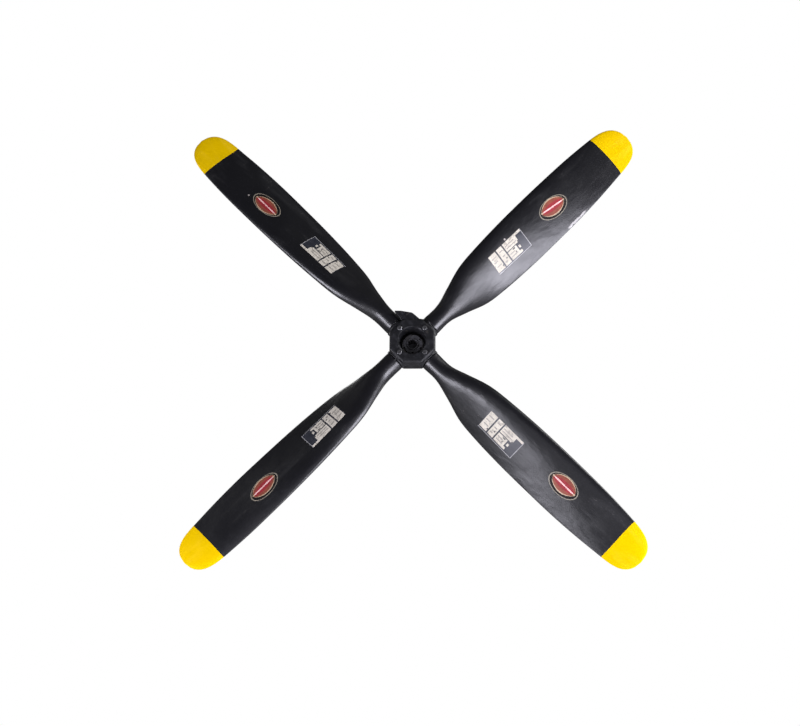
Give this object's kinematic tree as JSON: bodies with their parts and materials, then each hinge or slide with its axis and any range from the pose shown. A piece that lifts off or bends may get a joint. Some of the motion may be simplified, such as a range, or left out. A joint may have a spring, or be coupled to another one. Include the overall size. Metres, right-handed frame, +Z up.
{
  "type": "wooden aircraft propeller",
  "caption": "Black wooden aircraft propeller with yellow blade tips and decals, in a clamped octagonal hub that turns on a wall-mounted spindle; blades turn in their sockets for pitch.",
  "frame": {"origin": "centre of the wall flange's rear face, on the spin axis", "axes": "+Y points back into the wall along the spin axis, the front of the hub faces -Y, +Z is up; at rest the blades stand at 45 degrees to Z"},
  "size_m": [1.334, 0.1176, 1.334],
  "materials": {
    "black_blade_paint": "wood under satin black paint, the outer tenth of each blade yellow",
    "black_hub_paint": "satin black paint",
    "plated_steel": "zinc-plated steel",
    "dark_steel": "blackened steel",
    "bearing_bronze": "machined bearing bronze",
    "badge_red": "printed film decal, satin",
    "data_decal_cream": "printed film decal, satin"
  },
  "bodies": {
    "wall_mount": {"wall_flange": "black_hub_paint", "spindle": "plated_steel", "rear_thrust_washer": "plated_steel", "front_thrust_washer": "plated_steel", "nut_lock_washer": "plated_steel", "spindle_nut": "dark_steel"},
    "hub": {"hub_front_half": "black_hub_paint", "hub_rear_half": "black_hub_paint", "front_bush": "bearing_bronze", "rear_bush": "bearing_bronze", "hub_bolt_1": "plated_steel", "hub_bolt_2": "plated_steel", "hub_bolt_3": "plated_steel", "hub_bolt_4": "plated_steel", "bolt_washer_1": "plated_steel", "bolt_washer_2": "plated_steel", "bolt_washer_3": "plated_steel", "bolt_washer_4": "plated_steel", "blade_lock_screw_1": "plated_steel", "blade_lock_screw_2": "plated_steel", "blade_lock_screw_3": "plated_steel", "blade_lock_screw_4": "plated_steel"},
    "blade_1": {"blade_1": "black_blade_paint", "root_ferrule_1": "plated_steel", "root_pin_1": "plated_steel", "badge_decal_1": "badge_red", "data_decal_1": "data_decal_cream"},
    "blade_2": {"blade_2": "black_blade_paint", "root_ferrule_2": "plated_steel", "root_pin_2": "plated_steel", "badge_decal_2": "badge_red", "data_decal_2": "data_decal_cream"},
    "blade_3": {"blade_3": "black_blade_paint", "root_ferrule_3": "plated_steel", "root_pin_3": "plated_steel", "badge_decal_3": "badge_red", "data_decal_3": "data_decal_cream"},
    "blade_4": {"blade_4": "black_blade_paint", "root_ferrule_4": "plated_steel", "root_pin_4": "plated_steel", "badge_decal_4": "badge_red", "data_decal_4": "data_decal_cream"}
  },
  "joints": [
    {"name": "propeller_spin", "type": "hinge", "parent": "wall_mount", "child": "hub", "pos_m": [0, -0.076, 0], "axis": [0, -1, 0], "continuous": true},
    {"name": "blade_1_pitch", "type": "hinge", "parent": "hub", "child": "blade_1", "pos_m": [0, -0.076, 0], "axis": [0.7071, 0, 0.7071], "range_deg": [-8, 16]},
    {"name": "blade_2_pitch", "type": "hinge", "parent": "hub", "child": "blade_2", "pos_m": [0, -0.076, 0], "axis": [-0.7071, 0, 0.7071], "range_deg": [-8, 16]},
    {"name": "blade_3_pitch", "type": "hinge", "parent": "hub", "child": "blade_3", "pos_m": [0, -0.076, 0], "axis": [-0.7071, 0, -0.7071], "range_deg": [-8, 16]},
    {"name": "blade_4_pitch", "type": "hinge", "parent": "hub", "child": "blade_4", "pos_m": [0, -0.076, 0], "axis": [0.7071, 0, -0.7071], "range_deg": [-8, 16]}
  ]
}
